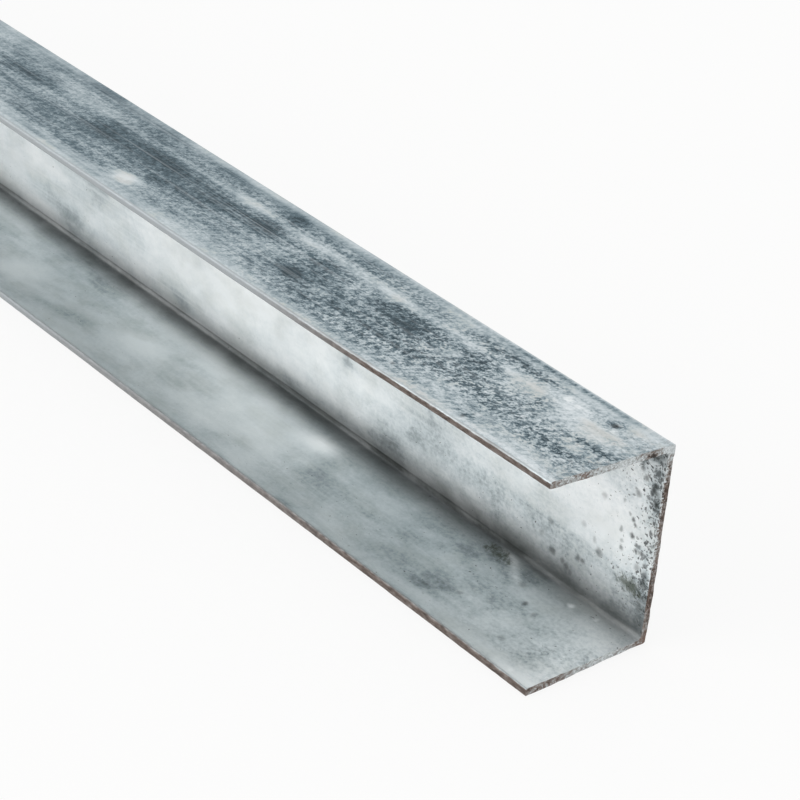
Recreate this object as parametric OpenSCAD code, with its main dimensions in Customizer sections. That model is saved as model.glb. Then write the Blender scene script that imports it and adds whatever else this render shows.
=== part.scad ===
// Steel channel: one piece of zinc-coated strip, pressed square into a U and cut to length.
// Frame: +X runs along the length, +Y points out of the back of the web and +Z up, in millimetres.
// The origin is the centre of the underside, where the piece lies on its lower flange.
// The trough opens towards -Y.

/* [Section] */
// Height of the web, measured over both flanges
web_h = 30; // [12:0.5:120]
// Width of each flange, measured from the back of the web to the free edge
flange_w = 21; // [8:0.5:80]
// Thickness of the coated strip
strip_t = 1; // [0.8:0.1:3]

/* [Bends] */
// Radius of the crisp outside of each bend
bend_outer_r = 0.3; // [0.1:0.1:2]
// Radius of the root inside each bend
bend_root_r = 0.6; // [0.2:0.1:3]

/* [Free edges] */
// Radius that the shear has drawn down on the upper arris of each free edge
edge_roll_r = 0.3; // [0.1:0.05:0.4]
// Radius of the blunt lower arris of each free edge
edge_blunt_r = 0.1; // [0.05:0.05:0.3]

/* [Length] */
// Length of the cut piece
stock_l = 1000; // [100:10:6000]

/* [Hidden] */
$fn = 96;
zinc_grey = [0.66, 0.69, 0.70];
web_back = flange_w / 2;     // back face of the web
free_edge = -flange_w / 2;   // both free edges
lap = strip_t / 4;           // how far a sliver passes the two faces of its corner

// The section is drawn in the plane of Y (to the right) and Z (upwards).

// The sliver between a square corner at the origin, which points left and down,
// and the quarter circle that rounds it. It is cut from an arris or added in a root.
module corner_sliver(r) {
    difference() {
        translate([-lap, -lap]) square(r + lap);
        translate([r, r]) circle(r);
    }
}

// Draws the lower side as it is and again, mirrored, as the upper side.
module both_sides() {
    children();
    translate([0, web_h]) mirror([0, 1]) children();
}

module web_section() {
    translate([web_back - strip_t, 0]) square([strip_t, web_h]);
}

module flange_section() {
    translate([free_edge, 0]) square([flange_w, strip_t]);
}

// Root between the web and the lower flange
module root_section() {
    translate([web_back - strip_t, strip_t]) mirror([1, 0]) corner_sliver(bend_root_r);
}

// What the lower bend's outside radius takes off the square corner
module bend_waste() {
    translate([web_back, 0]) mirror([1, 0]) corner_sliver(bend_outer_r);
}

// What both arrises of a free edge have lost, with the lower one at the origin
module edge_waste() {
    corner_sliver(edge_blunt_r);
    translate([0, strip_t]) mirror([0, 1]) corner_sliver(edge_roll_r);
}

module channel_section() {
    difference() {
        union() {
            web_section();
            both_sides() {
                flange_section();
                root_section();
            }
        }
        both_sides() bend_waste();
        for (flange_z = [0, web_h - strip_t])
            translate([free_edge, flange_z]) edge_waste();
    }
}

// The whole piece: the section run along X and cut square at both ends.
module channel() {
    color(zinc_grey)
        rotate([90, 0, 90])
            linear_extrude(height = stock_l, center = true)
                channel_section();
}

channel();
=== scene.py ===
import math
import random

import bpy
import numpy as np
from mathutils import Matrix, Vector, noise


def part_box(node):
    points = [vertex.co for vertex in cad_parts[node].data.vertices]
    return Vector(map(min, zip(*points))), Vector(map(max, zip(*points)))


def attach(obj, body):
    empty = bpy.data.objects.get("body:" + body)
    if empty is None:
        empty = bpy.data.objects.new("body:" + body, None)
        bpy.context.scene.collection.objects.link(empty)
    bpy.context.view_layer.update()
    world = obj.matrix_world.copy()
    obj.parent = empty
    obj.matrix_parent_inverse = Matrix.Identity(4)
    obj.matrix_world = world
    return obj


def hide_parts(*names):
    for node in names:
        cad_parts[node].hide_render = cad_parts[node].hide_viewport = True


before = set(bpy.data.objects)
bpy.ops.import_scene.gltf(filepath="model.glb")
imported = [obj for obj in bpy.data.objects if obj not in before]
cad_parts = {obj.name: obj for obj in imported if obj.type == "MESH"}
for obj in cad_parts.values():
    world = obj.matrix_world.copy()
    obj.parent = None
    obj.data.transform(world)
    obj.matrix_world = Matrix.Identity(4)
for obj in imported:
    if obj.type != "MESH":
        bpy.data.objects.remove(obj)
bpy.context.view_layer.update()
channelLow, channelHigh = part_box("channel")
mm = 0.001


cameraSetup = {
    "fromNearEnd": (186.28, -202.46, 190.03),  # mm from the foot of the near cut end's middle
    "azimuth": 48.195,
    "elevation": 29.301,
    "roll": 5.529,
    "lens": 117.65,
}


def addCamera(setup):
    azimuth, elevation = math.radians(setup["azimuth"]), math.radians(setup["elevation"])
    back = Vector((
        math.sin(azimuth) * math.cos(elevation),
        -math.cos(azimuth) * math.cos(elevation),
        math.sin(elevation),
    ))
    lens = bpy.data.cameras.new("camera")
    lens.lens = setup["lens"]
    lens.clip_start = 0.01
    camera = bpy.data.objects.new("camera", lens)
    bpy.context.scene.collection.objects.link(camera)
    place = Matrix.Translation(Vector(setup["fromNearEnd"]) * mm + Vector((channelHigh.x, 0, 0)))
    level = back.to_track_quat("Z", "Y").to_matrix().to_4x4()
    camera.matrix_world = place @ level @ Matrix.Rotation(math.radians(setup["roll"]), 4, "Z")
    bpy.context.scene.camera = camera


addCamera(cameraSetup)
print("camera placed")

# the channel's shape, in millimetres
channel = {
    "length": (channelHigh.x - channelLow.x) / mm,
    "flange": (channelHigh.y - channelLow.y) / mm,
    "web": (channelHigh.z - channelLow.z) / mm,
    "thickness": 1,
    "rootRadius": 0.6,  # inside of each bend
    "cornerRadius": 0.3,  # outside of each bend, which the rolls leave crisp
    "rollRadius": 0.3,  # upper arris of a free edge, drawn down by the slitter
    "bluntRadius": 0.1,  # lower arris of a free edge
    "across": 0.75,  # between points across the flats
    "evenFrom": (0.6, 1.4),  # where those points start: from a free edge, and from a bend
    "byBend": (0.2, 0.45, 0.8),  # closer ones beside each bend, where dirt gathers
    "bendStep": 0.33, "slitStep": 0.2,
    # stretches from the near end to the far one: (length, step)
    "along": [(2.4, 0.12), (26.6, 0.45), (101, 1.25), (866.4, 5.4), (3.6, 0.3)],
    "spring": 1,  # degrees that the top flange stands open after rolling
    "flare": 1.9,  # degrees more where the shear let the near end go
    "flareLength": 56,  # from the cut end back to where the flare has died away
    "wave": 0.06,  # waviness left by the rolls
    "waveSize": (70, 60),  # from swell to swell, along and across
    "webClear": 2,  # the web's own waviness starts this far from the flanges
    "ragged": 0.09,  # how far the cut ends wander
    # coarse, long and fine: (size across the strip, size through it, strength)
    "raggedSizes": [(1.3, 0.5, 1), (7, math.inf, 0.5), (0.45, 0.3, 0.5)],
    "cutReach": 2.2,  # from a cut end to where the shear left the sheet alone
    # the shear's line at the ends: (mm across the strip, mm out at the outer face, at the inner face)
    "cutLine": [
        (0, 0.27, 0.12), (4, 0.26, 0.14), (7, 0.12, 0.16), (10, 0.02, 0.1), (15, -0.12, 0),
        (19, -0.25, 0), (22, 0, 0), (31, 0, 0), (39, -0.13, -0.13), (69, -0.16, -0.16),
    ],
    "nibble": 0.03,  # how far the slit edges wander
    "nibbleSizes": [(1.1, 1, 1), (9, 9, 1.5)],  # (size along, size up, strength)
    "burr": 0.05,  # height of the burr round a cut end
    "burrSize": (1.6, 5), "burrBias": 0.25, "burrReach": 0.5,
}
nearEnd = channel["length"] / 2
freeEdge = -channel["flange"] / 2
webBack = channel["flange"] / 2


def evenly(start, end, step):
    return np.linspace(start, end, max(2, round(abs(end - start) / step) + 1))


def bendPoints(shape):
    # the lower bend from flange to web, as pairs of (y, z) points outside and inside the sheet
    r, c = shape["rootRadius"], shape["cornerRadius"]
    reach = shape["thickness"] + r
    outside = [(webBack - back, 0) for back in evenly(reach, c, shape["bendStep"])]
    outside += [
        (webBack - c + c * math.sin(a), c - c * math.cos(a))
        for a in evenly(0, math.pi / 2, math.pi / 8)[1:]]
    outside += [(webBack, z) for z in evenly(c, reach, shape["bendStep"])[1:]]
    inside = [
        (webBack - reach + r * math.sin(a), reach - r * math.cos(a))
        for a in np.linspace(0, math.pi / 2, len(outside))]
    return list(zip(outside, inside))


def slitProfile(shape):
    # from the lower arris to the upper one, as (height in the sheet, how far it stands back)
    t, low, up = shape["thickness"], shape["bluntRadius"], shape["rollRadius"]
    lower = [
        (low - low * math.cos(a), low - low * math.sin(a)) for a in evenly(0, math.pi / 2, math.pi / 4)]
    middle = [(height, 0) for height in evenly(low, t - up, shape["slitStep"])[1:-1]]
    upper = [
        (t - up + up * math.sin(a), up - up * math.cos(a)) for a in evenly(0, math.pi / 2, math.pi / 6)]
    return np.array(lower + middle + upper)


def sectionGrid(shape):
    # points[k, j] = (y, z): k runs from one free edge round the U to the other, j from outside in
    t, web = shape["thickness"], shape["web"]
    reach = t + shape["rootRadius"]
    slit = slitProfile(shape)
    close, step = shape["byBend"], shape["across"]
    byEdge, byBend = shape["evenFrom"]
    flatAt = list(evenly(freeEdge + byEdge, webBack - reach - byBend, step))
    flatAt += [webBack - reach - away for away in (*close[::-1], 0)]
    uprightAt = [reach + away for away in close] + list(evenly(reach + byBend, web / 2, step))
    flat = [((y, 0), (y, t)) for y in flatAt]
    upright = [((webBack, z), (webBack - t, z)) for z in uprightAt]
    half = flat + bendPoints(shape)[1:] + upright
    mirror = [((o[0], web - o[1]), (i[0], web - i[1])) for o, i in reversed(half[:-1])]
    pairs = np.array(half + mirror)
    share = np.linspace(0, 1, len(pairs))[:, None]
    depth = (1 - share) * slit[:, 0] / t + share * (1 - slit[::-1, 0] / t)
    points = pairs[:, :1] + (pairs[:, 1:] - pairs[:, :1]) * depth[:, :, None]
    lower = np.stack([freeEdge + slit[:, 1], slit[:, 0]], -1)[None]
    upper = np.stack([freeEdge + slit[::-1, 1], web - t + slit[::-1, 0]], -1)[None]
    return np.concatenate([lower, points, upper])


def rollOut(grid):
    # how far each row of points lies across the flat strip that the channel was rolled from
    steps = np.linalg.norm(np.diff(grid[:, [0, -1]], axis=0), axis=2).mean(axis=1)
    return np.concatenate([[0], np.cumsum(steps)])


def stationsAlong(shape):
    x, rows = nearEnd, [nearEnd]
    for length, step in shape["along"]:
        rows.extend(evenly(x, x - length, step)[1:])
        x -= length
    return np.array(rows)


def wander(x, y, seed):
    return noise.noise((x + 31.7 * seed, y - 17.3 * seed, 5.1 * seed))


def wanders(x, y, sizes, seed):
    return sum(
        strength * wander(x / long, y / high, seed + n) for n, (long, high, strength) in enumerate(sizes))


# the bake's map lays each side of the strip out in three lengths, side by side, with the ends above
bakeMap = {
    "margin": 0.01, "wide": 0.98, "foot": 0.002, "tall": 0.96, "ends": (0.968, 0.985), "endTall": 0.012,
}


def buildChannel(shape, grid):
    across = rollOut(grid)
    rows = stationsAlong(shape)
    last, inside = grid.shape[0] - 1, grid.shape[1] - 1
    # one turn round the section: outside, upper slit edge, back along the inside, lower slit edge
    ring = [(k, 0) for k in range(last + 1)]
    ring += [(last, j) for j in range(1, inside + 1)]
    ring += [(k, inside) for k in range(last - 1, -1, -1)]
    ring += [(0, j) for j in range(inside - 1, 0, -1)]
    core = [(k, j) for k in range(1, last) for j in range(1, inside)]
    finishRound = ["weatheredZinc"] * last + ["slitEdge"] * inside
    finishRound += ["satinZinc"] * last + ["slitEdge"] * inside

    places, index = [], {}
    for row in range(len(rows)):
        for k, j in ring + (core if row in (0, len(rows) - 1) else []):
            index[row, k, j] = len(places)
            places.append((rows[row], k, j))
    x, k, j = (np.array(column) for column in zip(*places))
    depth = np.linalg.norm(grid - grid[:, :1], axis=2)
    points = np.stack([x, grid[k, j, 0], grid[k, j, 1]], -1)
    rolled = np.stack([x, across[k], depth[k, j]], -1)
    sides = np.where(j == 0, 1, np.where(j == inside, -1, 0))

    faces, finishes, bake = [], [], []
    margin, wide, tall, foot = bakeMap["margin"], bakeMap["wide"], bakeMap["tall"], bakeMap["foot"]
    edges = list(zip(ring, ring[1:] + ring[:1]))
    girth = np.cumsum([0] + [np.linalg.norm(grid[a] - grid[b]) for a, b in edges])
    third, half = shape["length"] / 3, girth[-1] / 2
    for row in range(len(rows) - 1):
        piece = min(2, int((nearEnd - (rows[row] + rows[row + 1]) / 2) / third))
        v = [(nearEnd - rows[r] - piece * third) / third * tall + foot for r in (row, row + 1)]
        for n, (a, b) in enumerate(edges):
            side = int((girth[n] + girth[n + 1]) / 2 > half)
            u = [(2 * piece + side + margin + (g - side * half) / half * wide) / 6 for g in girth[n:n + 2]]
            faces.append((index[row, *a], index[row + 1, *a], index[row + 1, *b], index[row, *b]))
            bake.append([(u[0], v[0]), (u[0], v[1]), (u[1], v[1]), (u[1], v[0])])
            finishes.append(finishRound[n])
    for row, base in zip((0, len(rows) - 1), bakeMap["ends"]):
        for n in range(last):
            for m in range(inside):
                corners = [(n, m), (n + 1, m), (n + 1, m + 1), (n, m + 1)]
                flat = [
                    (margin + wide * across[c] / across[-1], base + bakeMap["endTall"] * d / inside)
                    for c, d in corners]
                turn = 1 if row == 0 else -1
                faces.append([index[row, *c] for c in corners][::turn])
                bake.append(flat[::turn])
                finishes.append("cutEnd")

    outward = grid[:, 0] - grid[:, -1]
    outward = (outward / np.linalg.norm(outward, axis=1)[:, None])[k] * sides[:, None]
    shearAndRoll(points, rolled, outward, (k == 0) | (k == last), shape)
    return points, faces, finishes, rolled, sides, np.array(bake)


def shearAndRoll(points, rolled, outward, atSlit, shape):
    # moves the points as the rolls, the slitter and the shear left the real sheet
    web, webFront = shape["web"], webBack - shape["thickness"]
    clear, reach, burrReach = shape["webClear"], shape["cutReach"], shape["burrReach"]
    waveLong, waveWide = shape["waveSize"]
    burrWide, burrLong = shape["burrSize"]
    cutAt, cutOuter, cutInner = zip(*shape["cutLine"])
    for n in range(len(points)):
        x, y, z = points[n]
        across, depth = rolled[n, 1:]
        upper = z > web / 2
        roll = shape["wave"] * wander(x / waveLong, across / waveWide, 1)
        if upper:
            points[n][2] += roll * (webBack - y) / shape["flange"]
        if clear < z < web - clear:
            points[n][1] += roll * 0.5 * math.sin(math.pi * z / web)
        if upper and y < webFront:
            near = max(0, 1 - (nearEnd - x) / shape["flareLength"])
            angle = shape["spring"] + shape["flare"] * near * near * (3 - 2 * near)
            points[n][2] += math.tan(math.radians(angle)) * (webFront - y)
        if atSlit[n]:
            points[n][1] += shape["nibble"] * wanders(x, z, shape["nibbleSizes"], 2)
        fromEnd = nearEnd - abs(x)
        if fromEnd < reach:
            outer, inner = (np.interp(across, cutAt, place) for place in (cutOuter, cutInner))
            inward = min(1, depth / shape["thickness"])
            out = shape["ragged"] * wanders(across, depth, shape["raggedSizes"], 4)
            out += outer + (inner - outer) * inward
            points[n][0] += math.copysign((1 - fromEnd / reach) ** 2, x) * out
        if fromEnd < burrReach:
            lift = max(0, shape["burrBias"] + wander(across / burrWide, x / burrLong, 7))
            lift *= (1 - fromEnd / burrReach) * shape["burr"]
            points[n][1] += outward[n][0] * lift
            points[n][2] += outward[n][1] * lift
    np.maximum(points[:, 2], 0, out=points[:, 2])  # it rests on a level floor


print("channel's section ready")


# marks on the sheet near the cut end: (mm back from the cut end, mm from the web's outer face,
# length, width, strength): above zero is dark patina, below zero is bare bright zinc, except two painted
# highlights along the outer bend
topFlangeMarks = [
    (23, 2.9, 14, 2.6, 0.8), (7, 3.1, 2.5, 3, 0.8), (28.5, 7.8, 5, 4.5, 0.9), (16.5, 7.9, 2.5, 4.5, 0.6),
    (41, 7.2, 14, 2.5, 0.55), (41, 9.9, 5, 2.6, 1.4), (46.5, 9, 3, 3, 0.6), (60.5, 8, 7, 4.2, 0.8),
    (61.5, 13.6, 4.2, 2.1, 1.7), (74, 8.5, 7, 5, 0.8), (73.5, 2.9, 4, 3.5, 0.8), (57, 2.5, 10, 3, 0.2),
    (22, 13, 20, 5, 0.45), (8, 14.5, 9, 7, 0.25), (3, 10.5, 4, 8, 0.3), (42, 14.2, 18, 3.5, 0.45),
    (18, 18.8, 3, 1.2, 0.7), (98, 8.5, 22, 4.5, 0.8), (113, 9, 5, 5, 0.5), (138, 8.5, 12, 4, 0.8),
    (94.5, 13.2, 3, 1.8, 0.7), (85, 10.5, 8, 4, 0.4), (12, 7, 10, 6, -0.6), (16, 4, 7, 3, -0.6),
    (4, 4, 4, 4, -0.3), (52, 5.3, 44, 1.6, -0.5), (70, 12, 9, 1.4, -0.5), (32, 9.2, 2.5, 4, -0.6),
    (48, 6, 3, 3, -0.4), (54.5, 13.7, 2, 1.5, -0.7), (25, 17, 12, 3, -0.4), (10, 19, 16, 3, -0.5),
    (37.5, 3, 3, 3, -0.4), (97, 16.5, 3.2, 2, -1.9), (133, 10.5, 8, 3, -0.4), (82, 5, 10, 2, -0.4),
    (6, 1.8, 12, 2.5, -0.6), (5, 14.7, 8, 5, 0.12), (4.5, 12.6, 6, 2.4, -0.55), (4.5, 10.4, 6, 1.3, 0.6),
    # the long bright marks 0.7 and 0.1 mm from the web's outer face are a painted highlight along the outer
    # bend
    (4.5, 8.9, 6, 1.5, -0.2), (104, 12.5, 50, 9, 0.45), (52, 14.8, 24, 5, 0.3), (80, 0.7, 50, 1.4, -0.6),
    (25, 0.1, 45, 0.5, -0.8), (60, 10, 50, 22, 0.15), (14, 1, 15, 1, 0.7), (26, 1, 10, 0.9, 0.3),
    (6.5, 14.8, 7, 1, 0.5), (100, 11, 95, 34, 0.28), (14, 8.5, 10, 4, 0.3), (4, 10.4, 5, 1.8, 0.4),
    (4.5, 8, 7, 3.5, -0.45), (72, 6, 100, 1.4, -0.42), (52, 17.6, 22, 2.2, 0.4),
    (68, 16.2, 50, 1.8, -0.3), (80, 12.5, 30, 6, -0.2), (95, 19.1, 60, 1.6, -0.5), (85, 3.6, 50, 2, 0.3),
    (22, 1.7, 30, 1.4, -0.35), (110, 1.5, 30, 1.6, 0.5), (52, 1.7, 22, 1.4, 0.25), (14, 7.6, 12, 2, -0.3),
]
# the same inside the trough: across is height over the floor for the web
webMarks = [
    (29, 6, 3, 5, 0.5), (47, 7.5, 2.5, 2, 0.9), (62.5, 12.3, 2.3, 3, 1.5), (66, 8.5, 3, 2, 0.35),
    (70, 5.5, 4, 2, 0.35), (75, 2.5, 5, 2, 0.35), (135, 8, 12, 6, 0.25), (3, 24.5, 6, 5, 0.55),
    (2, 10, 4, 5, 0.4), (9, 15, 10, 9, -0.8), (58, 12, 12, 5, -0.6), (95, 9, 30, 8, -0.5),
    (33, 11, 10, 4, -0.3), (85, 9.5, 44, 8, -0.5), (1, 4, 1.4, 6, 0.4), (4, 17, 6, 9, -0.5),
    (1.3, 22.8, 1.8, 2.8, 1.3), (1, 25.4, 1.4, 1.2, 1.1), (3.9, 26.2, 0.9, 1.3, 1.5),
    (2.2, 27.6, 3.4, 1.2, 1.7), (0.7, 20.6, 1, 1.6, 1.1), (0.8, 9.5, 1, 2.4, 1.4),
    (1.2, 12.9, 1, 1.2, 1.4), (2.6, 13.4, 1, 0.8, 1.4),
]
bottomFlangeMarks = [
    (25.5, 17, 4, 2, 0.6), (48, 13.5, 14, 5, 0.3), (35, 5.5, 12, 4, -0.5), (27.5, 12.5, 7, 4.5, -0.7),
    (34.5, 15, 7, 4, -0.4), (60.5, 6.2, 5.5, 2.8, -0.5), (75, 8.5, 14, 8, -0.6), (3, 10.5, 12, 18, -0.3),
    (100, 10.5, 6, 8, -0.4), (130, 12.5, 20, 6, -0.5), (29, 11, 24, 24, 0.75), (2, 20.2, 22, 3, -1.6),
    (78, 10, 26, 12, -0.4), (4.7, 14, 1.9, 4.2, 0.6), (21.5, 6.5, 5, 4.5, 0.6), (12, 12.5, 4, 3, -0.6),
    (16.5, 14, 2.5, 4, 0.4), (2.5, 7.5, 4, 5, -0.4), (15, 8.8, 3, 2, 0.3), (13, 6.5, 7, 3, -0.5),
    (8.5, 10.5, 2.5, 3, 0.3), (10, 15, 3, 3, 0.3),
]
# on the near cut end: (mm across the strip from the lower free edge, width, dark, rust)
cutEndMarks = [
    (0.9, 1.6, 0.2, 0.25), (4.4, 4.2, 0.2, 0.6), (8.6, 1.6, -0.1, 0), (14, 10, -0.75, 0),
    (20.6, 2.2, 0.25, 1), (30, 18, 0.4, 0.45), (42.4, 2, 0.5, 0.2), (43, 8, 0.2, 0.1),
    (49.6, 2.6, -1.4, -0.3), (53, 1.6, 0.15, 0), (56.5, 7, -0.9, 0), (61.5, 2.5, -0.35, 0),
    (63.7, 1.2, 0.3, 0.8), (66, 4, -0.45, 0.1), (68.9, 1.4, 0.1, 0.6),
]
trough = {
    "stain": [(26.2, 3, 3.2, 1.9, 1.2), (23.9, 3.6, 2.6, 1.5, 1.1)],
    "webStain": [(3.2, 7.3, 3.1, 1.8, 1.75), (4.6, 7.8, 1.8, 1.1, 0.9)],
    "scratch": [
        (25, 1.9, 1.8, 0.9, 0.6), (23.7, 2.2, 1.7, 0.9, 0.8), (22.6, 2.8, 1.6, 0.9, 0.9),
        (21.6, 3.6, 1.6, 0.9, 0.9), (20.6, 4.5, 1.6, 0.9, 0.8), (19.7, 5.3, 1.6, 0.9, 0.7),
        (18.7, 6.1, 1.6, 0.9, 0.4),
    ],
    "wiped": [(60.5, 6.2, 5.5, 2.8, 0.5)],
    "tideLine": 9.35,  # mm up the web, where dirt from the floor leaves off by the near end
}
# strewn over the rest of the sheet, clear of the near end
scatter = {
    "seed": 7, "count": 460, "length": (5, 18), "width": (1.8, 5), "dark": (0.45, 1),
    "darkOnes": 0.6, "bright": (0.3, 0.6), "clearFor": 150,
}
# how all of these lie on the sheet: reaches in mm, shares from 0 to 1
wear = {
    "spread": 0.62,  # of a mark's length and width, to where it has died away
    "skin": 1.6,  # a point this near to a face of the section lies on it
    "strewnInside": 0.6,
    "pits": {"reach": 6, "onFloor": 0.25, "lowWeb": 0.3, "from": 3, "over": 6},
    "scratch": {"over": 0.8, "short": 0.6, "clears": (0.9, 0.8)},
    "wiped": 2,
    "tide": {"share": 0.9, "edge": 0.5, "down": 7, "along": 32},
    "dust": {"offWeb": 0.8, "lessAtEnd": 0.6, "endReach": 8, "lessScratched": 0.7},
    # on the top face this bright zinc is also a painted highlight along the rolled arris
    "lip": {"share": 0.5, "in": 0.3, "width": 0.4},  # bright zinc drawn over the upper free edge
    # hands scuff the ends, so flecks are boldest there, and calm down to the least share
    "handled": {"least": 0.36, "from": 32, "reach": 28, "onWeb": 0.7, "floorMore": 0.95, "floorReach": 12},
}
# dirt in the roots and painted shade there, as shares of full darkness: how far it comes in from the web, in
# the bend, up the web, over the floor, at one blotch, as a haze over all of these, and under the top flange,
# where it is painted shade
rootDirtAndShade = {
    "rim": {"width": 0.5, "wider": 0.42, "at": 32, "reach": 18},
    # least and reach: on the near side of its darkest place, and on the far side
    "bend": {"most": 0.99, "at": 38, "least": (0.57, 0.83), "reach": (28, 30), "from": 0.6, "up": 0.3},
    "web": {"share": 0.58, "more": 0.37, "moreReach": 62, "less": 0.25, "lessReach": 10,
            "up": 2.3, "upMore": 2.9, "upReach": 60},
    "floor": {"share": 0.82, "clear": 26, "width": 3.6, "up": 0.5},
    "blotch": {"share": 0.75, "at": 18.8, "length": 3.2, "width": 1.6, "up": 0.5},
    "haze": {"share": 0.1, "reach": 50, "up": 8},
    "underTop": {"share": 0.45, "slope": 1.8, "from": 0.7, "reach": 2},
    "limit": 0.97,
}


def scatterMarks(setup):
    pick = random.Random(setup["seed"])
    marks = []
    for _ in range(setup["count"]):
        isDark = pick.random() < setup["darkOnes"]
        strength = pick.uniform(*setup["dark"]) if isDark else -pick.uniform(*setup["bright"])
        marks.append((
            pick.uniform(0, channel["length"]), pick.uniform(0, stripWidth),
            pick.uniform(*setup["length"]), pick.uniform(*setup["width"]), strength))
    return marks


def spots(face, back, across, marks):
    total = np.zeros(len(back))
    for away, middle, length, width, strength in marks:
        length, width = wear["spread"] * length, wear["spread"] * width
        total += strength * np.exp(-((back - away) / length) ** 2 - ((across - middle) / width) ** 2)
    return np.where(face, total, 0)


def fade(distance, reach, power=1):
    # one at no distance, dying away over the reach, with a sharper rim for a higher power
    return np.exp(-(distance / reach) ** power)


def dirtAndShadeInRoots(back, fromEnd, inFromWeb, z, scratch):
    # dirt in the roots with painted shade: it darkens the bend over its highlight, the web's foot, the floor
    # by the root and the web under the top flange
    rim, bend, web, floor, blotch = (rootDirtAndShade[part] for part in ("rim", "bend", "web", "floor", "blotch"))
    haze, underTop = rootDirtAndShade["haze"], rootDirtAndShade["underTop"]
    upWeb = np.maximum(z - channel["thickness"], 0)
    inBend = fade(inFromWeb, rim["width"] + rim["wider"] * fade(fromEnd - rim["at"], rim["reach"], 2), 2.5)
    # the bend's darkening is dirt and painted shade laid over the bend's highlight
    least, reach = (np.where(fromEnd < bend["at"], *bend[name]) for name in ("least", "reach"))
    onBend = least + (bend["most"] - least) * fade(np.abs(fromEnd - bend["at"]), reach, 3)
    onBend = onBend * inBend * fade(np.maximum(upWeb - bend["from"], 0), bend["up"], 2)
    onWeb = web["share"] + web["more"] * fade(fromEnd, web["moreReach"], 2.5)
    onWeb -= web["less"] * fade(fromEnd, web["lessReach"])
    onWeb *= inBend * fade(upWeb, web["up"] + web["upMore"] * fade(fromEnd, web["upReach"]), 2)
    onFloor = floor["share"] * (1 - fade(fromEnd, floor["clear"], 2))
    onFloor *= fade(inFromWeb, floor["width"], 2.4) * fade(upWeb, floor["up"], 2)
    atBlotch = blotch["share"] * fade(np.abs(back - blotch["at"]), blotch["length"], 3)
    atBlotch *= fade(inFromWeb, blotch["width"], 4) * fade(upWeb, blotch["up"], 2)
    dirtAndShade = np.maximum(np.maximum(onWeb, onBend), np.maximum(onFloor, atBlotch))
    # a haze of dirt and painted shade up the web from the root, wider by the near end
    dirtAndShade += haze["share"] * fade(fromEnd, haze["reach"]) * fade(upWeb, haze["up"]) * np.clip(upWeb, 0, 1)
    cleared, most = wear["scratch"]["clears"]
    dirtAndShade *= 1 - np.clip(cleared * scratch, 0, most)
    # painted shade on the web under the top flange
    below = np.maximum(channel["web"] - channel["thickness"] - z, 0)
    below = np.maximum(0, below + underTop["slope"] * inFromWeb - underTop["from"])
    dirtAndShade += underTop["share"] * fade(below, underTop["reach"])
    return np.clip(dirtAndShade, 0, rootDirtAndShade["limit"])


def marksOn(x, y, z, side, across):
    # grime, stain and pitting, then dust, dirt with painted shade in the roots, and handling, at every point;
    # side is above zero outside
    skin, pits, tide, dusting, lip = (wear[name] for name in ("skin", "pits", "tide", "dust", "lip"))
    back, fromWeb = nearEnd - x, webBack - y
    fromEnd = np.minimum(back, channel["length"] - back)
    inFromWeb = np.maximum(fromWeb - channel["thickness"], 0)
    top = (z > channel["web"] - skin) & (side > 0)
    bottom = (z < skin) & (side < 0)
    web = (y > webBack - skin) & (side < 0)
    grime = spots(top, back, fromWeb, topFlangeMarks)
    grime += spots(bottom, back, fromWeb, bottomFlangeMarks)
    grime += spots(web & ~bottom, back, z, webMarks)
    drawn = (top | bottom | web) & (back < scatter["clearFor"])
    strewn = spots(~drawn, back, across, scatterMarks(scatter))
    grime += strewn * np.where(side > 0, 1, wear["strewnInside"])
    stain = spots(bottom, back, fromWeb, trough["stain"])
    stain += spots(web, back, z, trough["webStain"])
    pitting = fade(fromEnd, pits["reach"]) * np.where(bottom, pits["onFloor"], 1)
    pitting *= np.where(web, np.clip((z - pits["from"]) / pits["over"], pits["lowWeb"], 1), 1)

    # the trough's floor was scratched and wiped, and dirt from it crept up the web
    scratch = spots(bottom, back, fromWeb, trough["scratch"])
    scratch *= np.clip(inFromWeb / wear["scratch"]["over"] - wear["scratch"]["short"], 0, 1)
    wiped = spots(bottom, back, fromWeb, trough["wiped"])
    grime -= scratch + wear["wiped"] * wiped
    under = trough["tideLine"] - z
    crept = np.clip(under / tide["edge"] + 0.5, 0, 1) * fade(np.maximum(under, 0), tide["down"])
    grime += np.where(web, tide["share"] * crept * fade(back, tide["along"], 2), 0)
    dust = np.where(bottom, (1 - fade(inFromWeb, dusting["offWeb"])) * (1 - np.clip(wiped, 0, 1)), 0)
    dust *= 1 - dusting["lessAtEnd"] * fade(fromEnd, dusting["endReach"])
    dust *= 1 - dusting["lessScratched"] * np.clip(scratch, 0, 1)
    # dirt and painted shade in the trough's roots
    dirtAndShade = np.where(side < 0, dirtAndShadeInRoots(back, fromEnd, inFromWeb, z, scratch), 0)

    hold, least = wear["handled"], wear["handled"]["least"]
    handled = least + (1 - least) * fade(np.maximum(fromEnd - hold["from"], 0), hold["reach"])
    onFloor = least + hold["floorMore"] * fade(fromEnd, hold["floorReach"])
    handled = np.where(bottom, onFloor, np.where(web, hold["onWeb"] * handled, handled))
    # brighter along the top face's free edge: the lip's bright zinc, and a painted highlight on the rolled
    # arris
    grime -= np.where(top, lip["share"] * fade(stripWidth - lip["in"] - across, lip["width"], 2), 0)
    for middle, width, dark, rust in cutEndMarks:
        share = np.where(side == 0, fade(across - middle, wear["spread"] * width, 2), 0)
        grime += dark * share
        stain += rust * share
    return np.stack([grime, stain, pitting], -1), np.stack([dust, dirtAndShade, handled], -1)


def linear(code):
    parts = [int(code[n:n + 2], 16) / 255 for n in (0, 2, 4)]
    return [p / 12.92 if p <= 0.04045 else ((p + 0.055) / 1.055) ** 2.4 for p in parts] + [1]


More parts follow.
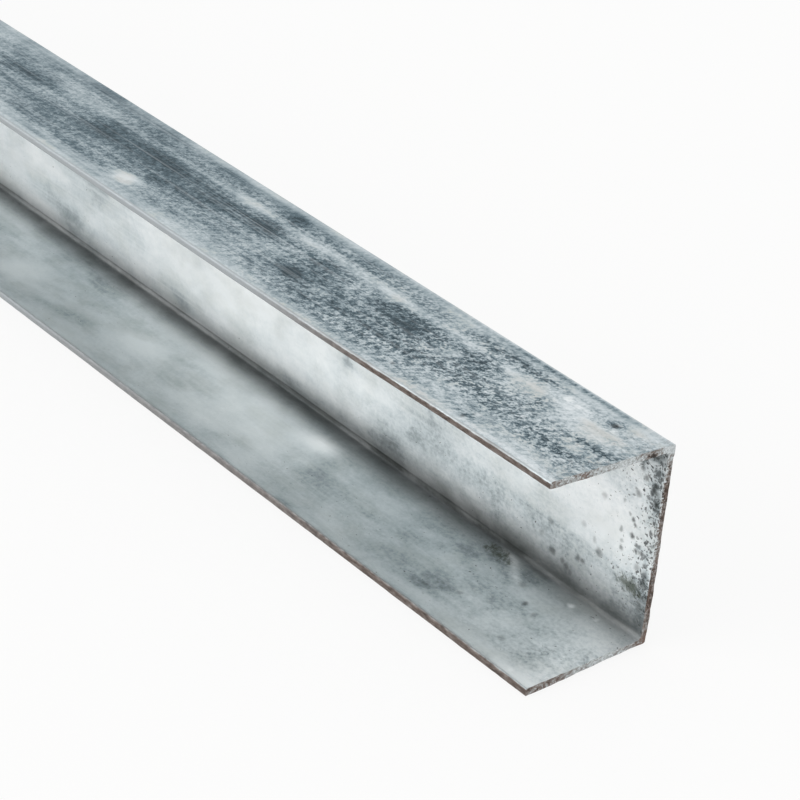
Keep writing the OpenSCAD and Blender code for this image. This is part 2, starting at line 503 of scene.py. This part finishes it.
def addNode(tree, kind, links=None, operation=None, **settings):
    # a link's value is a node (its first live output), a socket, or a plain value
    made = tree.nodes.new("ShaderNode" + kind)
    if operation:
        made.operation = operation
    for name, value in settings.items():
        setattr(made, name, value)
    for name, value in (links or {}).items():
        socket = made.inputs[name] if isinstance(name, int) else next(
            s for s in made.inputs if s.enabled and s.name == name)
        if isinstance(value, bpy.types.Node):
            value = next(s for s in value.outputs if s.enabled)
        if isinstance(value, bpy.types.NodeSocket):
            tree.links.new(value, socket)
        else:
            socket.default_value = value
    return made


smooth = {"interpolation_type": "SMOOTHSTEP"}


def fillRamp(ramp, tones):
    stops = ramp.color_ramp.elements
    stops.remove(stops[1])
    for n, (place, tone) in enumerate(tones):
        stop = stops.new(place) if n else stops[0]
        stop.position, stop.color = place, linear(tone)


def startMaterial(name, metallic=0, *attributes):
    material = bpy.data.materials.new(name)
    material.use_nodes = True
    tree = material.node_tree
    surface = tree.nodes["Principled BSDF"]
    surface.inputs["Metallic"].default_value = metallic
    layers = [addNode(tree, "Attribute", attribute_name=layer).outputs["Vector"] for layer in attributes]
    return material, tree, surface, *layers


def joinUp(tree, surface, colour, rough, height, deep):
    # deep is the relief in mm
    bump = addNode(tree, "Bump", {"Height": height, "Distance": deep * mm})
    for node, output, name in ((colour, 2, "Base Color"), (rough, 0, "Roughness"), (bump, 0, "Normal")):
        tree.links.new(node.outputs[output], surface.inputs[name])


# Hot-dip zinc on cold-rolled strip. The bath leaves it bright, the rolls draw fine lines along it,
# and damp in the rack turns the outside to blue-grey patina, in crisp flecks and lengthwise patches.
weatheredZinc = {
    "tones": [(0, "dde3e6"), (0.3, "bdc7cb"), (0.47, "97a5ab"), (0.66, "5d7079"), (0.9, "34454d")],
    "warm": "bfbfba", "warmShare": 0.6, "metallic": 0.8, "roughness": (0.36, 0.56), "shift": 0,
    "layers": {
        "clouds": (26, 7, 0, 3, 0.5, 0.4), "patches": (8, 3.2, 0, 4, 0.6, 0.3),
        "bands": (32, 1.5, 0, 2, 0.5, 0), "flecks": (1.3, 0.9, 59, 5, 0.75, 0),
        "crackle": (0.5, 0.36, 0, 2, 0.6, 0),
    },
    "shares": {"clouds": 0.4, "patches": 0.45, "bands": 0.36, "grime": 0.34},
    "fleckShare": 0.29, "crackleShare": 0.85, "fleckRange": (0.72, 1.45), "level": 0.42, "pits": 0.3,
    "specks": [
        (7.1, 52.2, 1.2, 0.75), (18.3, 67.8, 0.9, 0.55), (33.5, 66.5, 0.8, 0.4), (15.2, 52.6, 1.5, -0.6),
        (13.3, 53.1, 1.1, -0.5), (6, 53.4, 1.1, -0.5), (17.5, 66, 1, -0.5), (14.5, 61.2, 0.8, -0.4),
    ],
}
# The same zinc inside the trough, where it stayed dry: satin and clouded, pitted at the cut end,
# dulled by dust on the trough's floor, and dark in the roots with dirt and painted shade.
satinZinc = {
    "tones": [
        (0, "fcfdfd"), (0.25, "edf0f1"), (0.45, "d6dcde"), (0.65, "a9b1b4"), (0.85, "767e7e"), (1, "4c5150")],
    "warm": "d5d6d0", "warmShare": 0.25, "metallic": 0.9, "roughness": (0.38, 0.5), "shift": 400,
    "layers": {
        "clouds": (20, 8, 0, 3, 0.5, 0.4), "patches": (7, 4.5, 0, 4, 0.6, 0.3),
        "bands": (40, 2, 0, 2, 0.5, 0), "flecks": (1.4, 0.9, 59, 5, 0.75, 0),
        "crackle": (0.6, 0.5, 0, 2, 0.6, 0),
    },
    "shares": {"clouds": 1.1, "patches": 0.7, "bands": 0.2, "grime": 0.3},
    "fleckShare": 0.1, "crackleShare": 0.75, "fleckRange": (0.9, 1.05), "level": 0.34, "pits": 0.85,
    "specks": [
        (14.2, 12.5, 1, 0.6), (11.6, 11.7, 0.9, 0.4), (17.8, 15.3, 1.3, 0.35), (20.8, 6.8, 0.9, 0.35),
        (10, 4.7, 1, 0.35), (9.4, 28.8, 1.3, 0.55), (12, 25.9, 1, 0.6), (12.9, 26, 1.1, 0.6),
        (17.7, 24.5, 1.2, 0.65), (18.7, 28.6, 1.1, 0.4), (14.8, 23.5, 1.2, 0.55), (15.6, 24, 1, 0.5),
        (14.1, 23.1, 0.8, 0.4), (4.1, 34.2, 1, 0.8), (4.4, 36.5, 0.8, 0.75), (3.9, 36, 0.7, 0.65),
        (5.1, 37, 0.6, 0.45), (6.1, 34.2, 0.7, 0.5), (5.7, 31.6, 0.8, 0.6), (5.7, 32.7, 0.6, 0.35),
        (9.8, 37.3, 1.1, 0.35), (12.7, 31.4, 1, 0.25), (20, 26.1, 1, 0.25), (6.2, 38.5, 0.6, 0.35),
        (4.1, 40.6, 1, 0.55), (4.5, 41, 0.6, 0.5), (3, 33.3, 0.7, 0.7), (2.6, 33.3, 0.6, 0.65),
        (3.1, 32.4, 0.7, 0.7), (2, 32.6, 0.7, 0.75), (1.5, 32.6, 0.6, 0.7), (1.3, 31.2, 0.7, 0.65),
        (1, 36.3, 0.8, 0.75), (0.9, 40.6, 0.9, 0.8), (1.6, 42.3, 1.1, 0.85), (1.3, 43, 1, 0.85),
        (1.8, 41.7, 0.7, 0.8), (1.3, 44.9, 0.9, 0.7), (3.1, 43.4, 0.8, 0.6), (2.3, 40.9, 0.7, 0.5),
        (3.9, 44.4, 0.8, 0.55), (4.1, 45.2, 0.6, 0.5), (2.7, 28.6, 0.7, 0.6), (1.4, 28.6, 0.8, 0.65),
        (1.1, 29.8, 1.2, 0.6), (2.6, 30.3, 1, 0.4), (10.4, 30.1, 0.9, 0.3), (0.5, 34.5, 0.7, 0.5),
        (10.7, 17.3, 1.1, -0.95), (6.4, 17.9, 0.8, -0.8), (4.1, 0.9, 0.7, -0.7),
    ],
}
# Specks in both zincs are (mm back from the near end, mm across the strip, size, share), a share
# below zero being a bright crumb. Noises, there and here, are (mm along the strip, mm across it,
# turn in degrees, detail, roughness, distortion).
rollAndWear = {
    "lines": (45, 0.5, 0, 2, 0.5, 0), "grain": (0.3, 0.3, 0, 2, 0.5, 0), "warmth": (7, 4.5, 0, 3, 0.5, 0),
    "clusters": (5, 4, 0, 2, 0.5, 0), "shiver": (1.3, 1.1, 0, 3, 0.6, 0),
}
# patina by a bend and a free edge: (share, mm until it starts to come back, mm until it is full)
polish = {"bend": (0.5, 0.8, 3), "freeEdge": (0.8, 0.8, 3)}
shearPits = {
    # (mm to a cell along and across, how fast they thin out from the cut end, how rare they are)
    "kinds": [(0.8, 0.68, 0.66, -1.1), (0.42, 0.36, 0.9, -1.2)],
    "shiver": (1.6, 1.4, 0), "inGrime": 0.14, "inClusters": 0.4, "raggedness": 0.5, "size": 0.4,
}
speckShape = {"shiver": 0.9, "rim": (0.75, 0.12)}  # sway in mm, rim and heart as shares of the size
# the root tone is dirt and painted shade in the roots
soilingAndShade = {
    "dust": "c6cccd", "dustShare": 0.9, "rootDirtAndShade": "3f4241", "stain": "454a37", "pit": "353736",
    "bare": "f2f5f6", "stainFlecks": 4.5,
}
relief = {"level": 0.9, "grain": 0.3, "lines": 0.3, "pits": -1.6, "height": 0.03}  # height in mm
roughening = {"grain": 0.12, "dirtAndShade": 0.25}


def zincMaterial(name, look):
    material, tree, surface, rolled, marks, soilAndShade = startMaterial(
        name, look["metallic"], "rolled", "marks", "soilAndShade")
    shift, shares = look["shift"], look["shares"]
    grime, stain, pitting = addNode(tree, "SeparateXYZ", {"Vector": marks}).outputs
    # the second attribute holds dust, dirt with painted shade in the roots, and handling
    dust, dirtAndShade, handled = addNode(tree, "SeparateXYZ", {"Vector": soilAndShade}).outputs

    layers = {}
    noises = {**look["layers"], **rollAndWear}
    for layer, (along, wide, turn, detail, roughness, distortion) in noises.items():
        place = addNode(tree, "Mapping", {"Vector": rolled, "Rotation": (0, 0, math.radians(turn))})
        place = addNode(tree, "Mapping", {
            "Vector": place, "Location": (shift, shift / 7, shift / 3), "Scale": (1 / along, 1 / wide, 0)})
        layers[layer] = addNode(tree, "TexNoise", {
            "Vector": place, "Scale": 1, "Detail": detail, "Roughness": roughness, "Distortion": distortion})
    patches, flecks, crackle = layers["patches"], layers["flecks"], layers["crackle"]
    lines, grain = layers["lines"], layers["grain"]

    # less patina where the rolls and hands polish it
    across = addNode(tree, "SeparateXYZ", {"Vector": rolled}).outputs["Y"]
    fromMiddle = addNode(tree, "Math", {0: across, 1: stripWidth / 2}, "SUBTRACT")
    fromMiddle = addNode(tree, "Math", {0: fromMiddle}, "ABSOLUTE")
    fromBend = addNode(tree, "Math", {0: fromMiddle, 1: bendAt}, "SUBTRACT")
    fromBend = addNode(tree, "Math", {0: fromBend}, "ABSOLUTE")
    least, start, full = polish["bend"]
    lively = addNode(tree, "MapRange", {
        "Value": fromBend, "From Min": start, "From Max": full, "To Min": least}, **smooth)
    least, start, full = polish["freeEdge"]
    edged = addNode(tree, "MapRange", {
        "Value": fromMiddle, "From Min": stripWidth / 2 - full, "From Max": stripWidth / 2 - start,
        "To Min": 1, "To Max": least}, **smooth)
    for share in (edged, handled):
        lively = addNode(tree, "Math", {0: lively, 1: share}, "MULTIPLY")

    # one level from bare zinc (0) to full patina (1)
    level = look["level"]
    for layer in ("clouds", "patches", "bands"):
        centred = addNode(tree, "Math", {0: layers[layer], 1: 0.5}, "SUBTRACT")
        level = addNode(tree, "Math", {0: centred, 1: shares[layer], 2: level}, "MULTIPLY_ADD")
    fine = 0
    crisp = addNode(tree, "MapRange", {"Value": flecks, "From Min": 0.44, "From Max": 0.57}, **smooth)
    for layer, share in ((crisp, look["fleckShare"]), (crackle, look["crackleShare"])):
        centred = addNode(tree, "Math", {0: layer, 1: 0.5}, "SUBTRACT")
        fine = addNode(tree, "Math", {0: centred, 1: share, 2: fine}, "MULTIPLY_ADD")
    faint, bold = look["fleckRange"]
    flecked = addNode(tree, "MapRange", {
        "Value": grime, "From Min": -0.1, "From Max": 0.5, "To Min": faint, "To Max": bold})
    fine = addNode(tree, "Math", {0: fine, 1: flecked}, "MULTIPLY")
    level = addNode(tree, "Math", {0: fine, 1: lively, 2: level}, "MULTIPLY_ADD")
    level = addNode(tree, "Math", {0: grime, 1: shares["grime"], 2: level}, "MULTIPLY_ADD")
    colour = addNode(tree, "ValToRGB", {"Fac": level})
    fillRamp(colour, look["tones"])

    # pits where the shear cracked the coating: one to a cell at most, sized by the cell's own number,
    # its rim made ragged by the crackle
    ragged = addNode(tree, "Math", {0: crackle, 1: 0.5}, "SUBTRACT")
    shivered = addNode(tree, "VectorMath", {
        0: layers["shiver"].outputs["Color"], 1: shearPits["shiver"], 2: rolled}, "MULTIPLY_ADD")
    pit = 0
    for along, wide, thinning, rarity in shearPits["kinds"]:
        cells = addNode(tree, "Mapping", {
            "Vector": shivered, "Location": (shift, shift / 7, 0), "Scale": (1 / along, 1 / wide, 0)})
        cells = addNode(tree, "TexVoronoi", {"Vector": cells, "Scale": 1}, voronoi_dimensions="2D")
        lot = addNode(tree, "SeparateColor", {"Color": cells.outputs["Color"]})
        chance = addNode(tree, "Math", {0: pitting, 1: thinning, 2: rarity}, "MULTIPLY_ADD")
        for helper, share in ((grime, shearPits["inGrime"]), (layers["clusters"], shearPits["inClusters"])):
            chance = addNode(tree, "Math", {0: helper, 1: share, 2: chance}, "MULTIPLY_ADD")
        reach = addNode(tree, "Math", {0: lot.outputs["Red"], 1: chance}, "ADD")
        reach = addNode(tree, "MapRange", {"Value": reach, "From Max": 0.5, "To Max": shearPits["size"]})
        away = addNode(tree, "Math", {
            0: ragged, 1: shearPits["raggedness"], 2: cells.outputs["Distance"]}, "MULTIPLY_ADD")
        inPit = addNode(tree, "Math", {0: reach, 1: away}, "SUBTRACT")
        depth = addNode(tree, "MapRange", {
            "Value": lot.outputs["Green"], "To Min": 0.5 * look["pits"], "To Max": look["pits"]})
        inPit = addNode(tree, "MapRange", {
            "Value": inPit, "From Min": -0.03, "From Max": 0.07, "To Max": depth}, **smooth)
        hasPit = addNode(tree, "Math", {0: reach, 1: 0.01}, "GREATER_THAN")
        inPit = addNode(tree, "Math", {0: inPit, 1: hasPit}, "MULTIPLY")
        pit = addNode(tree, "Math", {0: inPit, 1: pit}, "MAXIMUM")
    dented = pit

    # single specks of dirt stuck to the zinc, and bright crumbs of it, which leave no dent
    sway = speckShape["shiver"]
    bent = addNode(tree, "VectorMath", {
        0: layers["shiver"].outputs["Color"], 1: (sway, sway, 0), 2: rolled}, "MULTIPLY_ADD")
    bent = addNode(tree, "Mapping", {
        "Vector": bent, "Location": (-sway / 2, -sway / 2, 0), "Scale": (1, 1, 0)})
    crumb, (rim, heart) = 0, speckShape["rim"]
    for away, middle, size, share in look["specks"]:
        gap = addNode(tree, "VectorMath", {0: bent, 1: (nearEnd - away, middle, 0)}, "DISTANCE")
        speck = addNode(tree, "MapRange", {
            "Value": gap.outputs["Value"], "From Min": rim * size, "From Max": heart * size,
            "To Max": abs(share)}, **smooth)
        if share > 0:
            pit = addNode(tree, "Math", {0: speck, 1: pit}, "MAXIMUM")
        else:
            crumb = addNode(tree, "Math", {0: speck, 1: crumb}, "MAXIMUM")

    warmth = addNode(tree, "MapRange", {
        "Value": layers["warmth"], "From Min": 0.48, "From Max": 0.66, "To Max": look["warmShare"]})
    lined = addNode(tree, "MapRange", {"Value": lines, "From Min": 0.5, "From Max": 0.75, "To Max": 0.25})
    mottle = soilingAndShade["stainFlecks"]
    stained = addNode(tree, "Math", {0: flecks, 1: mottle, 2: -mottle / 2}, "MULTIPLY_ADD")
    anyStain = addNode(tree, "MapRange", {"Value": stain, "From Min": 0.05, "From Max": 0.3})
    stained = addNode(tree, "Math", {0: stain, 1: stained}, "ADD")
    stained = addNode(tree, "Math", {0: stained, 1: anyStain}, "MULTIPLY")
    stained = addNode(tree, "MapRange", {
        "Value": stained, "From Min": 0.35, "From Max": 1.4, "To Max": 0.72}, **smooth)
    dusty = addNode(tree, "Math", {0: dust, 1: soilingAndShade["dustShare"]}, "MULTIPLY")
    blotchy = addNode(tree, "MapRange", {
        "Value": patches, "From Min": 0.35, "From Max": 0.6, "To Min": 0.92, "To Max": 1.04})
    # dirt and painted shade in the roots, made blotchy by the patches
    grubbyAndShaded = addNode(tree, "Math", {0: dirtAndShade, 1: blotchy}, "MULTIPLY")
    bare = addNode(tree, "MapRange", {"Value": grime, "From Min": -1.3, "From Max": -2.1}, **smooth)
    for share, tone, blend in (
        (warmth, look["warm"], "DARKEN"),
        (lined, look["tones"][0][1], "MIX"),
        (dusty, soilingAndShade["dust"], "MULTIPLY"),
        (grubbyAndShaded, soilingAndShade["rootDirtAndShade"], "MIX"),
        (stained, soilingAndShade["stain"], "MIX"),
        (bare, soilingAndShade["bare"], "MIX"),
        (pit, soilingAndShade["pit"], "MIX"),
        (crumb, soilingAndShade["bare"], "MIX"),
    ):
        colour = addNode(tree, "Mix", {
            "Factor": share, "A": colour, "B": linear(tone)}, data_type="RGBA", blend_type=blend)

    low, high = look["roughness"]
    rough = addNode(tree, "MapRange", {
        "Value": level, "From Min": 0.2, "From Max": 0.8, "To Min": low, "To Max": high})
    for layer, share in ((grain, roughening["grain"]), (dirtAndShade, roughening["dirtAndShade"])):
        rough = addNode(tree, "Math", {0: layer, 1: share, 2: rough}, "MULTIPLY_ADD")

    # patina stands a few hundredths proud, the roll lines are shallower, pits go in
    height = 0
    for layer, name in ((level, "level"), (grain, "grain"), (lines, "lines"), (dented, "pits")):
        height = addNode(tree, "Math", {0: layer, 1: relief[name], 2: height}, "MULTIPLY_ADD")
    joinUp(tree, surface, colour, rough, height, relief["height"])
    return material


# The slitter shears most of the way and tears the rest. The torn steel has rusted in a thin
# brown film, and a lip of soft zinc is drawn over the upper arris.
slitEdge = {
    "tones": [(0.32, "443c38"), (0.5, "6d625c"), (0.68, "8b8480")],
    "metallic": 0.75, "roughness": 0.62, "relief": 0.06,  # relief in mm
    "bands": (1.6, 0.5), "tears": (0.35, 0.8),  # (mm along the strip, mm up the edge)
    # the lip's height in the sheet at the lower and the upper edge, and mm between its breaks; the
    # lower one is whole for the first mm from the near end, and weaker beyond the second
    "lip": "bcc4c7", "lipFrom": (0.9, 0.62), "lipBreaks": 9, "lipRoughness": 0.4,
    "lowerLip": 0.4, "lowerLipFades": (2, 14),
    # the rust has crept in from the cut ends: mm from them where a film of zinc starts to cover
    # it, and where it covers most of the lower edge and of the upper one
    "film": "a6acaf", "filmFrom": 36, "filmTo": (125, 62), "filmShare": 0.9,
}


def slitEdgeMaterial(look):
    material, tree, surface, rolled = startMaterial("slitEdge", look["metallic"], "rolled")
    # height in the sheet: the upper arris is inside the lower flange but outside the upper one
    along, across, depth = addNode(tree, "SeparateXYZ", {"Vector": rolled}).outputs
    upper = addNode(tree, "Math", {0: across, 1: stripWidth / 2}, "GREATER_THAN")
    up = addNode(tree, "Math", {0: upper, 1: depth}, "SUBTRACT")
    up = addNode(tree, "Math", {0: up}, "ABSOLUTE")
    noises = []
    for (long, high), detail, roughness in (
            (look["bands"], 4, 0.65), (look["tears"], 2, 0.5), ((look["lipBreaks"], math.inf), 4, 0.5)):
        spread = addNode(tree, "Mapping", {"Vector": rolled, "Scale": (1 / long, 0, 1 / high)})
        noises.append(addNode(tree, "TexNoise", {
            "Vector": spread, "Scale": 1, "Detail": detail, "Roughness": roughness}))
    bands, tears, broken = noises
    colour = addNode(tree, "ValToRGB", {"Fac": bands})
    fillRamp(colour, look["tones"])
    wavy = addNode(tree, "Math", {0: bands, 1: 0.25, 2: up}, "MULTIPLY_ADD")
    lipFrom, filmTo = (
        addNode(tree, "MapRange", {"Value": upper, "To Min": look[name][0], "To Max": look[name][1]})
        for name in ("lipFrom", "filmTo"))
    lip = addNode(tree, "Math", {0: wavy, 1: lipFrom}, "SUBTRACT")
    lip = addNode(tree, "MapRange", {"Value": lip, "From Min": 0.08, "From Max": 0.22}, **smooth)
    whole, weaker = look["lowerLipFades"]
    lower = addNode(tree, "MapRange", {
        "Value": along, "From Min": nearEnd - weaker, "From Max": nearEnd - whole,
        "To Min": look["lowerLip"]})
    broken = addNode(tree, "MapRange", {
        "Value": broken, "From Min": 0.35, "From Max": 0.6, "To Min": 0.45, "To Max": 0.95})
    fromEnd = addNode(tree, "Math", {0: along}, "ABSOLUTE")
    fromEnd = addNode(tree, "Math", {0: nearEnd, 1: fromEnd}, "SUBTRACT")
    film = addNode(tree, "MapRange", {
        "Value": fromEnd, "From Min": look["filmFrom"], "From Max": filmTo, "To Max": look["filmShare"]})
    colour = addNode(tree, "Mix", {"Factor": film, "A": colour, "B": linear(look["film"])}, data_type="RGBA")
    kept = addNode(tree, "Math", {0: upper, 1: broken}, "MULTIPLY")
    kept = addNode(tree, "Math", {0: kept, 1: lower}, "MAXIMUM")
    thinner = addNode(tree, "Math", {0: film, 1: -0.6, 2: 1}, "MULTIPLY_ADD")
    kept = addNode(tree, "Math", {0: kept, 1: thinner}, "MULTIPLY")
    lip = addNode(tree, "Math", {0: lip, 1: kept}, "MULTIPLY")
    colour = addNode(tree, "Mix", {"Factor": lip, "A": colour, "B": linear(look["lip"])}, data_type="RGBA")
    rough = addNode(tree, "MapRange", {
        "Value": lip, "To Min": look["roughness"], "To Max": look["lipRoughness"]})
    height = addNode(tree, "Math", {0: tears, 1: bands}, "ADD")
    joinUp(tree, surface, colour, rough, height, look["relief"])
    return material


# The cut ends were sheared too, and handled: torn steel, light where the blade wiped zinc over
# it, with brown rust, dark pits and bright crumbs dragged over from the coating.
cutEnd = {
    "tones": [(0.3, "3b3632"), (0.43, "857b75"), (0.56, "a2a3a2"), (0.72, "c6cccd")],
    "rust": "775f53", "crumb": "d6dcde", "metallic": 0.7, "roughness": 0.6, "crumbRoughness": 0.38,
    # (mm across the strip, mm through it, detail)
    "tearing": (0.7, 0.5, 4), "crumbs": (0.42, 0.36, 2), "rustPatches": (1.6, 1.1, 3),
    # up the web the shear wiped zinc over the inner part of the cut: mm across the strip where it
    # starts and ends, mm into the sheet, and by how much
    "wipedStart": (30, 33), "wipedEnd": (46, 49), "wipedIn": (0.55, 0.75), "wiped": 0.15,
    "darker": -0.25, "fewerCrumbs": -0.12, "relief": 0.1,  # relief in mm
}


def cutEndMaterial(look):
    material, tree, surface, rolled, marks = startMaterial("cutEnd", look["metallic"], "rolled", "marks")
    dark, rust, _ = addNode(tree, "SeparateXYZ", {"Vector": marks}).outputs
    noises = []
    for wide, deep, detail in (look["tearing"], look["crumbs"], look["rustPatches"]):
        flat = addNode(tree, "Mapping", {"Vector": rolled, "Scale": (0, 1 / wide, 1 / deep)})
        noises.append(addNode(tree, "TexNoise", {
            "Vector": flat, "Scale": 1, "Detail": detail, "Roughness": 0.7}))
    tone, crumbs, patchy = noises
    level = addNode(tree, "Math", {0: tone, 1: 1.35, 2: -0.175}, "MULTIPLY_ADD")
    level = addNode(tree, "Math", {0: dark, 1: look["darker"], 2: level}, "MULTIPLY_ADD")
    colour = addNode(tree, "ValToRGB", {"Fac": level})
    fillRamp(colour, look["tones"])
    rusty = addNode(tree, "MapRange", {"Value": patchy, "From Min": 0.4, "From Max": 0.6, "To Min": 0.1})
    rusty = addNode(tree, "Math", {0: rusty, 1: rust}, "MULTIPLY", use_clamp=True)
    colour = addNode(tree, "Mix", {"Factor": rusty, "A": colour, "B": linear(look["rust"])}, data_type="RGBA")
    _, across, depth = addNode(tree, "SeparateXYZ", {"Vector": rolled}).outputs
    onWeb, offWeb = (
        addNode(tree, "MapRange", {"Value": across, "From Min": look[name][0], "From Max": look[name][1]})
        for name in ("wipedStart", "wipedEnd"))
    onWeb = addNode(tree, "Math", {0: onWeb, 1: offWeb}, "SUBTRACT")
    shallow, deep = look["wipedIn"]
    wiped = addNode(tree, "MapRange", {
        "Value": depth, "From Min": shallow, "From Max": deep, "To Max": look["wiped"]})
    wiped = addNode(tree, "Math", {0: wiped, 1: onWeb}, "MULTIPLY")
    crumbs = addNode(tree, "Math", {0: crumbs, 1: wiped}, "ADD")
    crumbs = addNode(tree, "Math", {0: dark, 1: look["fewerCrumbs"], 2: crumbs}, "MULTIPLY_ADD")
    crumbs = addNode(tree, "MapRange", {"Value": crumbs, "From Min": 0.57, "From Max": 0.66}, **smooth)
    colour = addNode(tree, "Mix", {
        "Factor": crumbs, "A": colour, "B": linear(look["crumb"])}, data_type="RGBA")
    rough = addNode(tree, "MapRange", {
        "Value": crumbs, "To Min": look["roughness"], "To Max": look["crumbRoughness"]})
    height = addNode(tree, "Math", {0: tone, 1: crumbs}, "ADD")
    joinUp(tree, surface, colour, rough, height, look["relief"])
    return material


edgeToBend = 20.3  # mm across the flat strip
grid = sectionGrid(channel)
stripWidth = rollOut(grid)[-1]
bendAt = stripWidth / 2 - edgeToBend
points, faces, finishes, rolled, sides, bake = buildChannel(channel, grid)
print("channel rolled and cut:", len(faces), "faces")

creaseAngle = 38
mesh = bpy.data.meshes.new("steelChannel")
mesh.from_pydata((points * mm).tolist(), [], faces)
for material in (
    zincMaterial("weatheredZinc", weatheredZinc),
    zincMaterial("satinZinc", satinZinc),
    slitEdgeMaterial(slitEdge),
    cutEndMaterial(cutEnd),
):
    mesh.materials.append(material)
slots = {material.name: n for n, material in enumerate(mesh.materials)}
mesh.polygons.foreach_set("material_index", [slots[name] for name in finishes])
mesh.polygons.foreach_set("use_smooth", [True] * len(faces))
mesh.set_sharp_from_angle(angle=math.radians(creaseAngle))
# the second set holds dust, dirt with painted shade in the roots, and handling
marks, soilAndShade = marksOn(rolled[:, 0], points[:, 1], points[:, 2], sides, rolled[:, 1])
for name, values in (("rolled", rolled), ("marks", marks), ("soilAndShade", soilAndShade)):
    mesh.attributes.new(name, "FLOAT_VECTOR", "POINT").data.foreach_set("vector", values.ravel())
mesh.uv_layers.new(name="OFBake").data.foreach_set("uv", bake.ravel())
mesh.validate()
steelChannel = bpy.data.objects.new("steelChannel", mesh)
bpy.context.scene.collection.objects.link(steelChannel)
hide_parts("channel")
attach(steelChannel, "root")
print("zinc and edges finished")


studio = {
    "floor": "f2f2f0", "floorSize": 14, "floorGap": 0.00002, "floorWhite": 0.85, "world": 0.72,
    "aim": (0.25, 0, 0),
    # name: (direction from where it aims, distance m, size m, watts)
    "lamps": {
        "frontPanel": ((-0.35, -0.9, 0.32), 2.2, 1.8, 24),
        "overheadPanel": ((0.1, -0.1, 1), 2.6, 2.2, 10),
    },
}


def seenDirectly(tree):
    # one where a camera, mirror or glass ray meets the surface, nothing for light on the object
    path = addNode(tree, "LightPath")
    seen = addNode(tree, "Math", {
        0: path.outputs["Is Camera Ray"], 1: path.outputs["Is Glossy Ray"]}, "MAXIMUM")
    return addNode(tree, "Math", {0: seen, 1: path.outputs["Is Transmission Ray"]}, "MAXIMUM")


def addStudio(setup):
    scene = bpy.context.scene
    world = bpy.data.worlds.new("studio")
    scene.world = world
    world.use_nodes = True
    tree = world.node_tree
    sky = tree.nodes["Background"]
    sky.inputs["Color"].default_value = (1, 1, 1, 1)
    strength = addNode(tree, "MapRange", {
        "Value": seenDirectly(tree), "To Min": setup["world"], "To Max": 1})
    tree.links.new(strength.outputs[0], sky.inputs["Strength"])

    half = setup["floorSize"] / 2
    plane = bpy.data.meshes.new("floor")
    corners = [(-half, -half, 0), (half, -half, 0), (half, half, 0), (-half, half, 0)]
    plane.from_pydata(corners, [], [(0, 1, 2, 3)])
    floor = bpy.data.objects.new("floor", plane)
    floor.location.z = channelLow.z - setup["floorGap"]
    scene.collection.objects.link(floor)
    material, tree, surface = startMaterial("paleFloor")
    surface.inputs["Base Color"].default_value = linear(setup["floor"])
    surface.inputs["Roughness"].default_value = 0.9
    surface.inputs["Specular IOR Level"].default_value = 0.1
    white = addNode(tree, "Emission")
    share = addNode(tree, "Math", {0: seenDirectly(tree), 1: setup["floorWhite"]}, "MULTIPLY")
    mixed = addNode(tree, "MixShader", {0: share, 1: surface, 2: white})
    tree.links.new(mixed.outputs[0], tree.nodes["Material Output"].inputs["Surface"])
    plane.materials.append(material)

    for name, (direction, distance, size, watts) in setup["lamps"].items():
        panel = bpy.data.lights.new(name, "AREA")
        panel.energy, panel.size = watts, size
        lamp = bpy.data.objects.new(name, panel)
        towards = Vector(direction).normalized()
        lamp.location = Vector(setup["aim"]) + towards * distance
        lamp.rotation_mode = "QUATERNION"
        lamp.rotation_quaternion = towards.to_track_quat("Z", "Y")
        scene.collection.objects.link(lamp)
    scene.view_settings.view_transform = "Standard"


addStudio(studio)
print("studio lit")
